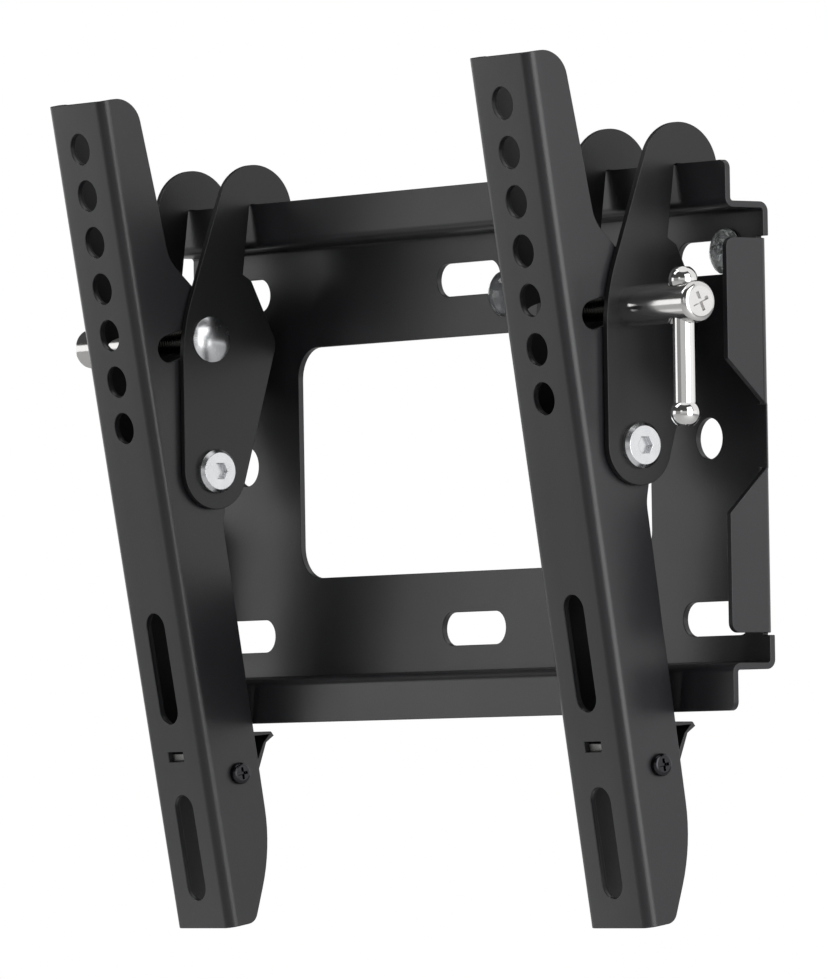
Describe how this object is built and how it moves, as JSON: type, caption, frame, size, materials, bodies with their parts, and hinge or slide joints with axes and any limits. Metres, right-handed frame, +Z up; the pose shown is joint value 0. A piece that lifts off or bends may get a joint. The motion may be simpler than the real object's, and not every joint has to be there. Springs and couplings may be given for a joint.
{
  "type": "tilting tv wall bracket",
  "caption": "Folded wall plate with an upper and a lower rail and channel arms that hook on, tilt about pivots and are held by clamp barrels, for hanging a flat screen.",
  "frame": {"origin": "centre of the four outer fixing slots, in the plane of the wall plate's back face that lies on the wall", "axes": "+X to the right as seen from the front, +Y into the wall, +Z up"},
  "size_m": [0.314, 0.0736, 0.2643],
  "materials": {
    "powder_coat": "fine-grained semi-matte black powder coat on steel sheet",
    "clear_plastic": "clear moulded plastic",
    "zinc_plate": "bright zinc plate with light turning marks",
    "nickel_plate": "polished nickel plate",
    "fibre": "dark pressed fibre",
    "black_latch": "semi-matte black on folded steel",
    "black_zinc": "black zinc plate"
  },
  "bodies": {
    "wall": {"wall_plate": "powder_coat", "spirit_level": "clear_plastic", "middle_disc": "clear_plastic"},
    "left_carriage": {"left_inner_hook": "powder_coat", "left_outer_hook": "powder_coat", "left_pivot_bolt": "zinc_plate", "left_pivot_nut": "zinc_plate", "left_friction_washers": "fibre", "left_tilt_bolt": "zinc_plate"},
    "left_tilting_arm": {"left_arm": "powder_coat", "left_latch_screw": "black_zinc", "left_latch_nut": "black_zinc"},
    "left_pawl": {"left_latch": "black_latch"},
    "left_clamp": {"left_clamp_barrel": "nickel_plate"},
    "left_handle": {"left_tommy_bar": "nickel_plate", "left_tommy_balls": "nickel_plate"},
    "right_carriage": {"right_inner_hook": "powder_coat", "right_outer_hook": "powder_coat", "right_pivot_bolt": "zinc_plate", "right_pivot_nut": "zinc_plate", "right_friction_washers": "fibre", "right_tilt_bolt": "zinc_plate"},
    "right_tilting_arm": {"right_arm": "powder_coat", "right_latch_screw": "black_zinc", "right_latch_nut": "black_zinc"},
    "right_pawl": {"right_latch": "black_latch"},
    "right_clamp": {"right_clamp_barrel": "nickel_plate"},
    "right_handle": {"right_tommy_bar": "nickel_plate", "right_tommy_balls": "nickel_plate"}
  },
  "joints": [
    {"name": "left_hook_slide", "type": "slide", "parent": "wall", "child": "left_carriage", "axis": [1, 0, 0], "range_m": [-0.014, 0.08]},
    {"name": "left_arm_tilt", "type": "hinge", "parent": "left_carriage", "child": "left_tilting_arm", "pos_m": [-0.1112, -0.0323, -0.0025], "axis": [1, 0, 0], "range_deg": [-20, 0]},
    {"name": "left_latch_swing", "type": "hinge", "parent": "left_tilting_arm", "child": "left_pawl", "pos_m": [-0.1112, -0.02314, -0.09877], "axis": [1, 0, 0], "range_deg": [-25, 3], "stiffness_Nm_per_rad": 0.15},
    {"name": "left_clamp_turn", "type": "hinge", "parent": "left_carriage", "child": "left_clamp", "pos_m": [-0.1112, -0.03355, 0.0395], "axis": [1, 0, 0], "range_deg": [-218, 2]},
    {"name": "left_bar_slide", "type": "slide", "parent": "left_clamp", "child": "left_handle", "axis": [0, -0.309, 0.9511], "range_m": [0, 0.0264]},
    {"name": "right_hook_slide", "type": "slide", "parent": "wall", "child": "right_carriage", "axis": [1, 0, 0], "range_m": [-0.08, 0.02]},
    {"name": "right_arm_tilt", "type": "hinge", "parent": "right_carriage", "child": "right_tilting_arm", "pos_m": [0.1048, -0.0323, -0.0025], "axis": [1, 0, 0], "range_deg": [-19, 1]},
    {"name": "right_latch_swing", "type": "hinge", "parent": "right_tilting_arm", "child": "right_pawl", "pos_m": [0.1048, -0.02482, -0.09892], "axis": [1, 0, 0], "range_deg": [-25, 3], "stiffness_Nm_per_rad": 0.15},
    {"name": "right_clamp_turn", "type": "hinge", "parent": "right_carriage", "child": "right_clamp", "pos_m": [0.1048, -0.03355, 0.0395], "axis": [1, 0, 0], "range_deg": [-200, 20]},
    {"name": "right_bar_slide", "type": "slide", "parent": "right_clamp", "child": "right_handle", "axis": [0, 0, 1], "range_m": [0, 0.0264]}
  ]
}
